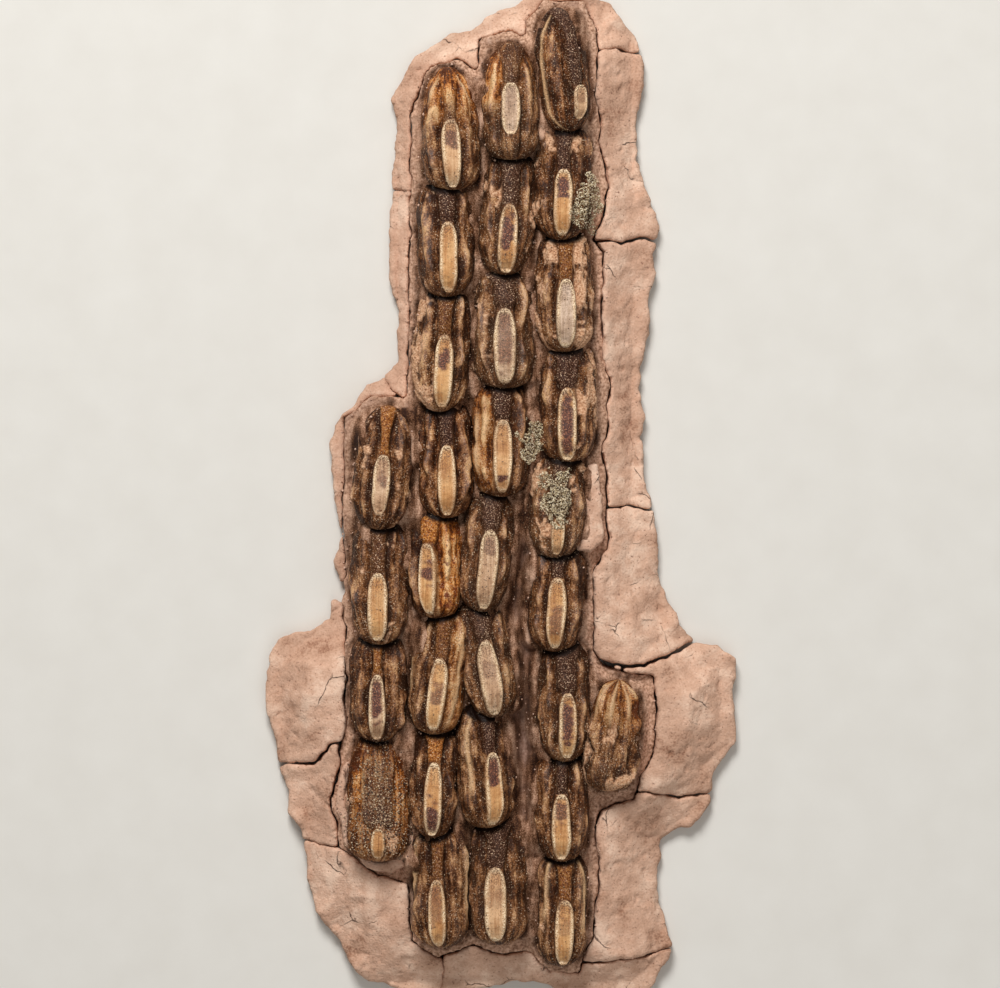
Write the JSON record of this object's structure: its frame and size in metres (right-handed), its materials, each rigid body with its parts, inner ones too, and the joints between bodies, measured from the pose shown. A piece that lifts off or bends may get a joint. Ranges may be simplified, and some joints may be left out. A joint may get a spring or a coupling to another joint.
{
  "type": "spotted lanternfly egg mass",
  "caption": "Weathered insect egg mass: keg-shaped brown eggs in columns on a thin bed, edged by cracked mud-like covering.",
  "frame": {"origin": "middle of the flat underside, where the mass came off the bark", "axes": "+Y up the columns of eggs, towards the end laid first in the picture's upper half; +X to the right across the columns; +Z out of the bark"},
  "size_m": [0.0114, 0.0245, 0.002],
  "materials": {
    "egg_shell": "thin dark brown egg shell with a satin gloss, tan lids and pale dust",
    "bed": "dull grey-brown dried secretion, finely granular",
    "covering": "dull pinkish-beige dried mud-like covering, granular and cracked"
  },
  "bodies": {
    "root": {"bed": "bed", "crust_chip": "covering", "crust_cradle": "covering", "crust_foot_left": "covering", "crust_foot_right": "covering", "crust_heel": "covering", "crust_left_edge": "covering", "crust_left_lower": "covering", "crust_left_upper": "covering", "crust_right_lower": "covering", "crust_right_middle": "covering", "crust_right_upper": "covering", "crust_shoulder": "covering", "crust_strip": "covering", "crust_top": "covering", "egg_c1_1": "egg_shell", "egg_c1_2": "egg_shell", "egg_c1_3": "egg_shell", "egg_c1_4": "egg_shell", "egg_c2_1": "egg_shell", "egg_c2_2": "egg_shell", "egg_c2_3": "egg_shell", "egg_c2_4": "egg_shell", "egg_c2_5": "egg_shell", "egg_c2_6": "egg_shell", "egg_c2_7": "egg_shell", "egg_c2_8": "egg_shell", "egg_c3_1": "egg_shell", "egg_c3_2": "egg_shell", "egg_c3_3": "egg_shell", "egg_c3_4": "egg_shell", "egg_c3_5": "egg_shell", "egg_c3_6": "egg_shell", "egg_c3_7": "egg_shell", "egg_c3_8": "egg_shell", "egg_c4_1": "egg_shell", "egg_c4_2": "egg_shell", "egg_c4_3": "egg_shell", "egg_c4_4": "egg_shell", "egg_c4_5": "egg_shell", "egg_c4_6": "egg_shell", "egg_c4_7": "egg_shell", "egg_c4_8": "egg_shell", "egg_c4_9": "egg_shell", "egg_side_1": "egg_shell"}
  },
  "joints": []
}
